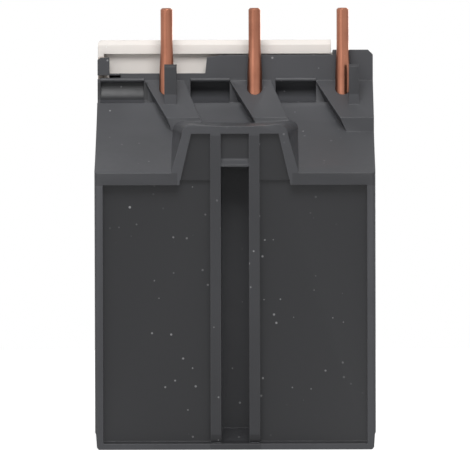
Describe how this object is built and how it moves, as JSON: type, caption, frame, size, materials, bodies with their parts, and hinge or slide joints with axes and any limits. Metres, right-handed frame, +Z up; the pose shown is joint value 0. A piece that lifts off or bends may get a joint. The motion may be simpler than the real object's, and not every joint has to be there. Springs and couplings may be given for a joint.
{
  "type": "thermal overload relay",
  "caption": "Plug-in thermal overload relay with three contactor pins, a ribbed sloping back, screw terminals, setting dial and reset and stop buttons.",
  "frame": {"origin": "middle of the base, on the surface it stands on", "axes": "+Z up, along the contactor pins; -Y is the front with the dial and buttons; +Y is the ribbed rear; +X is the right-hand side seen from the front"},
  "size_m": [0.045, 0.07, 0.0711],
  "materials": {
    "dark_body": "satin moulded charcoal plastic",
    "light_cover": "satin moulded warm light grey plastic",
    "clear": "clear polycarbonate",
    "copper": "drawn copper, lightly oxidised",
    "zinc_steel": "zinc plated steel",
    "spring_steel": "spring steel",
    "resistance_wire": "nickel chromium wire",
    "bimetal_strip": "rolled bimetal",
    "contact_brass": "contact brass",
    "tray_plastic": "moulded black plastic",
    "slide_plastic": "natural moulded plastic",
    "bridge_plastic": "orange moulded plastic",
    "dial_plastic": "pale moulded plastic",
    "blue_plastic": "blue moulded plastic",
    "red_plastic": "red moulded plastic"
  },
  "bodies": {
    "frame": {"rear_housing": "dark_body", "front_cover": "light_cover", "power_terminal_block": "dark_body", "aux_terminal_block": "dark_body", "mechanism_tray": "tray_plastic", "pin_conductor_1": "copper", "pin_conductor_2": "copper", "pin_conductor_3": "copper", "heater_winding_1": "resistance_wire", "heater_winding_2": "resistance_wire", "heater_winding_3": "resistance_wire", "load_conductor_1": "copper", "load_conductor_2": "copper", "load_conductor_3": "copper", "nc_fixed_contact": "contact_brass", "nc_blade_terminal": "contact_brass", "no_blade_terminal": "contact_brass", "no_fixed_contact": "contact_brass", "trip_pivot_pin": "spring_steel", "reset_spring": "spring_steel", "stop_spring": "spring_steel", "test_spring": "spring_steel", "trip_spring": "spring_steel"},
    "clear_flap": {"clear_cover": "clear"},
    "dial": {"setting_dial": "dial_plastic"},
    "adjuster": {"adjustment_lever": "slide_plastic"},
    "selector": {"mode_selector": "blue_plastic"},
    "reset": {"reset_button": "blue_plastic"},
    "stop": {"stop_button": "red_plastic"},
    "test": {"test_button": "dial_plastic"},
    "slide": {"main_slider": "slide_plastic"},
    "differential": {"differential_slider": "slide_plastic"},
    "differential_arm": {"differential_lever": "bridge_plastic"},
    "trip": {"trip_lever": "slide_plastic", "compensation_bimetal": "bimetal_strip"},
    "bridge": {"contact_bridge": "bridge_plastic", "trip_flag": "bridge_plastic"},
    "nc": {"nc_blade": "contact_brass"},
    "no": {"no_blade": "contact_brass"},
    "thermal_1": {"bimetal_1": "bimetal_strip"},
    "power_terminal_1": {"power_screw_1": "zinc_steel", "power_clamp_1": "zinc_steel"},
    "thermal_2": {"bimetal_2": "bimetal_strip"},
    "power_terminal_2": {"power_screw_2": "zinc_steel", "power_clamp_2": "zinc_steel"},
    "thermal_3": {"bimetal_3": "bimetal_strip"},
    "power_terminal_3": {"power_screw_3": "zinc_steel", "power_clamp_3": "zinc_steel"},
    "aux_terminal_1": {"aux_screw_1": "zinc_steel", "aux_clamp_1": "zinc_steel"},
    "aux_terminal_2": {"aux_screw_2": "zinc_steel", "aux_clamp_2": "zinc_steel"},
    "aux_terminal_3": {"aux_screw_3": "zinc_steel", "aux_clamp_3": "zinc_steel"},
    "aux_terminal_4": {"aux_screw_4": "zinc_steel", "aux_clamp_4": "zinc_steel"}
  },
  "joints": [
    {"name": "flap_hinge", "type": "hinge", "parent": "frame", "child": "clear_flap", "pos_m": [-0.0212, -0.034, 0.052], "axis": [0, 0, -1], "range_deg": [0, 110]},
    {"name": "dial_turn", "type": "hinge", "parent": "frame", "child": "dial", "pos_m": [-0.0105, -0.03, 0.0535], "axis": [0, 1, 0], "range_deg": [-135, 135]},
    {"name": "adjuster_pivot", "type": "hinge", "parent": "frame", "child": "adjuster", "pos_m": [-0.0062, -0.028, 0.0442], "axis": [0, 1, 0], "range_deg": [-4.3, 4.3]},
    {"name": "selector_turn", "type": "hinge", "parent": "frame", "child": "selector", "pos_m": [0.0025, -0.03, 0.0448], "axis": [0, 1, 0], "range_deg": [0, 90]},
    {"name": "reset_push", "type": "slide", "parent": "frame", "child": "reset", "axis": [0, 1, 0], "range_m": [0, 0.002], "stiffness_N_per_m": 150, "springref_m": -0.001, "deforming": ["reset_spring"]},
    {"name": "stop_push", "type": "slide", "parent": "frame", "child": "stop", "axis": [0, 1, 0], "range_m": [0, 0.002], "stiffness_N_per_m": 150, "springref_m": -0.001, "deforming": ["stop_spring"]},
    {"name": "test_push", "type": "slide", "parent": "frame", "child": "test", "axis": [0, 1, 0], "range_m": [0, 0.0015], "stiffness_N_per_m": 120, "springref_m": -0.001, "deforming": ["test_spring"]},
    {"name": "overload_slide", "type": "slide", "parent": "frame", "child": "slide", "axis": [1, 0, 0], "range_m": [0, 0.0012], "stiffness_N_per_m": 200, "springref_m": -0.0005},
    {"name": "bimetal_bend_1", "type": "hinge", "parent": "frame", "child": "thermal_1", "pos_m": [0.01435, 0.011, 0.0171], "axis": [0, 1, 0], "range_deg": [0, 3]},
    {"name": "bimetal_bend_2", "type": "hinge", "parent": "frame", "child": "thermal_2", "pos_m": [0, 0.011, 0.0171], "axis": [0, 1, 0], "range_deg": [0, 3]},
    {"name": "bimetal_bend_3", "type": "hinge", "parent": "frame", "child": "thermal_3", "pos_m": [-0.01435, 0.011, 0.0171], "axis": [0, 1, 0], "range_deg": [0, 3]},
    {"name": "trip_pivot", "type": "hinge", "parent": "frame", "child": "trip", "pos_m": [0.0104, -0.00695, 0.048], "axis": [0, 0, -1], "range_deg": [0, 5.8]},
    {"name": "bridge_slide", "type": "slide", "parent": "frame", "child": "bridge", "axis": [-1, 0, 0], "range_m": [0, 0.0012], "deforming": ["trip_spring"]},
    {"name": "nc_blade_bend", "type": "hinge", "parent": "frame", "child": "nc", "pos_m": [0.014, -0.0195, 0.0421], "axis": [0, -1, 0], "range_deg": [0, 9]},
    {"name": "no_blade_bend", "type": "hinge", "parent": "frame", "child": "no", "pos_m": [-0.014, -0.0195, 0.0421], "axis": [0, -1, 0], "range_deg": [0, 9]},
    {"name": "phase_loss_slide", "type": "slide", "parent": "slide", "child": "differential", "axis": [-1, 0, 0], "range_m": [0, 0.001]},
    {"name": "phase_loss_lever", "type": "hinge", "parent": "slide", "child": "differential_arm", "pos_m": [0.0065, 0.0086, 0.044], "axis": [0, 0, 1], "range_deg": [0, 17.6]},
    {"name": "power_screw_drive_1", "type": "slide", "parent": "frame", "child": "power_terminal_1", "axis": [0, 1, 0], "range_m": [0, 0.0039]},
    {"name": "power_screw_drive_2", "type": "slide", "parent": "frame", "child": "power_terminal_2", "axis": [0, 1, 0], "range_m": [0, 0.0039]},
    {"name": "power_screw_drive_3", "type": "slide", "parent": "frame", "child": "power_terminal_3", "axis": [0, 1, 0], "range_m": [0, 0.0039]},
    {"name": "aux_screw_drive_1", "type": "slide", "parent": "frame", "child": "aux_terminal_1", "axis": [0, 1, 0], "range_m": [0, 0.0028]},
    {"name": "aux_screw_drive_2", "type": "slide", "parent": "frame", "child": "aux_terminal_2", "axis": [0, 1, 0], "range_m": [0, 0.0028]},
    {"name": "aux_screw_drive_3", "type": "slide", "parent": "frame", "child": "aux_terminal_3", "axis": [0, 1, 0], "range_m": [0, 0.0028]},
    {"name": "aux_screw_drive_4", "type": "slide", "parent": "frame", "child": "aux_terminal_4", "axis": [0, 1, 0], "range_m": [0, 0.0028]}
  ],
  "couplings": [
    {"joint": "adjuster_pivot", "follows": "dial_turn", "ratio": 0.030804},
    {"joint": "bimetal_bend_1", "follows": "overload_slide", "rad_per_m": 41.632},
    {"joint": "bimetal_bend_2", "follows": "overload_slide", "rad_per_m": 41.632},
    {"joint": "bimetal_bend_3", "follows": "overload_slide", "rad_per_m": 41.632},
    {"joint": "trip_pivot", "follows": "overload_slide", "rad_per_m": 79.44},
    {"joint": "bridge_slide", "follows": "overload_slide", "ratio": 1},
    {"joint": "nc_blade_bend", "follows": "overload_slide", "rad_per_m": 125.62},
    {"joint": "no_blade_bend", "follows": "overload_slide", "rad_per_m": 125.62},
    {"joint": "phase_loss_lever", "follows": "phase_loss_slide", "rad_per_m": 302.88}
  ]
}
